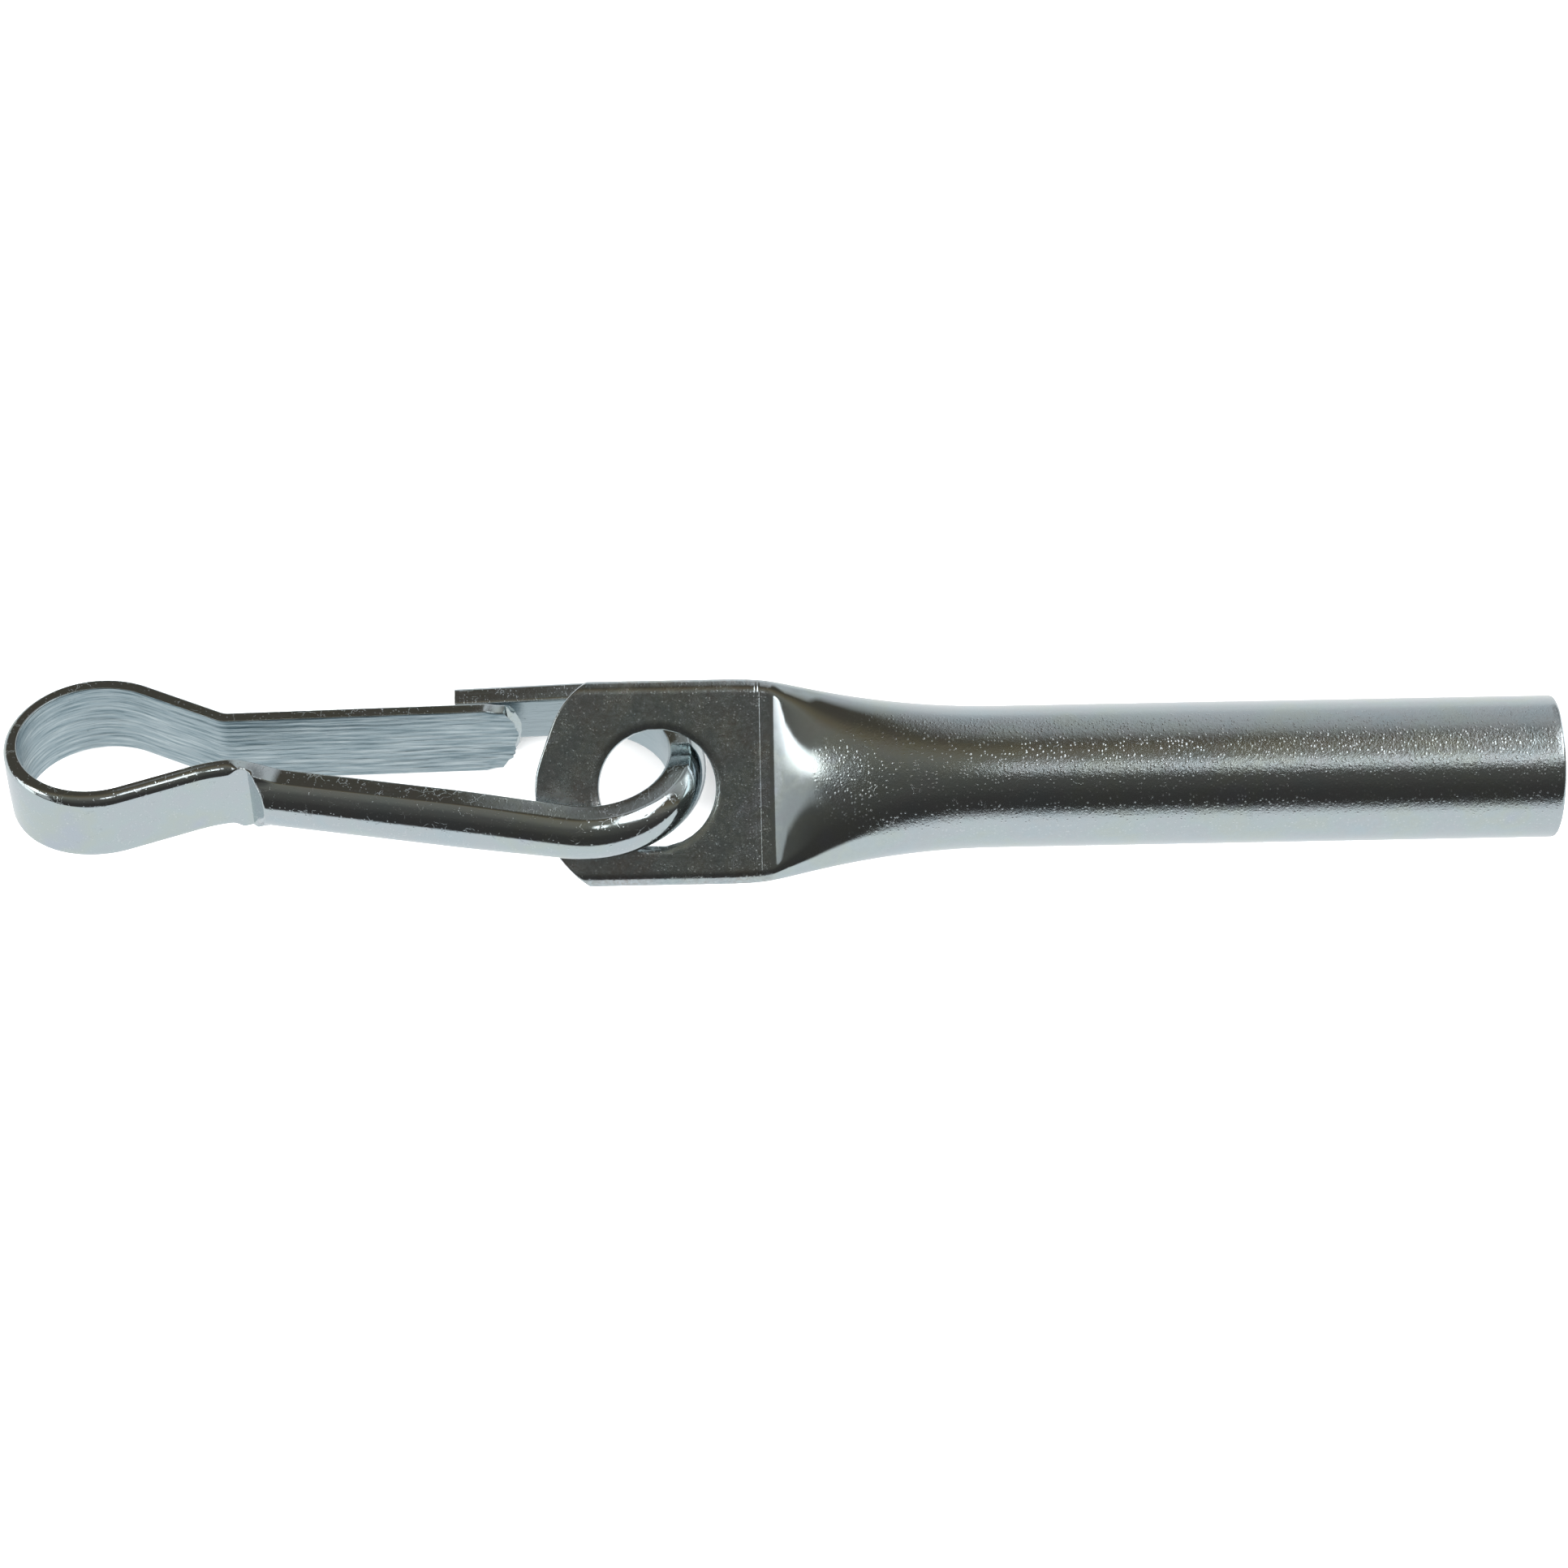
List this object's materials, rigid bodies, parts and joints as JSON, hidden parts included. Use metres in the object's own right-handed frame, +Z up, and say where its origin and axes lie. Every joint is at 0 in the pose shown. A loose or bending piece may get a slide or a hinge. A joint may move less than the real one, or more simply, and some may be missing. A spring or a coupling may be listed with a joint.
{
  "type": "safety chain hook",
  "caption": "Steel tube pressed flat at one end into a punched eye, with a bent spring clip hanging in the eye that snaps over a chain link or ring.",
  "frame": {"origin": "bottom centre of the bounding box, on the ground under the middle of the hook", "axes": "+X along the tube from the eye to its open end, +Z up, square to the flat of the eye plate, +Y to the tube's left"},
  "size_m": [0.1744, 0.0244, 0.0214],
  "materials": {
    "tube_shank": "bright zinc plate with fine scratches",
    "clip_frame": "bright zinc plate with drawn grain",
    "gate_arm": "bright zinc plate with wavy drawn grain"
  },
  "bodies": {
    "shank": {"tube_shank": "tube_shank"},
    "clip": {"clip_frame": "clip_frame"},
    "gate": {"gate_arm": "gate_arm"}
  },
  "joints": [
    {"name": "eye_swing", "type": "hinge", "parent": "shank", "child": "clip", "pos_m": [-0.01361, -0.00126, 0.01298], "axis": [0, 0, 1], "range_deg": [-115, 115]},
    {"name": "gate_flex", "type": "hinge", "parent": "clip", "child": "gate", "pos_m": [-0.08634, 0.00236, 0.01056], "axis": [-0.0141, -0.743, -0.6691], "range_deg": [0, 11], "stiffness_Nm_per_rad": 0.5, "springref_deg": -5.73}
  ]
}
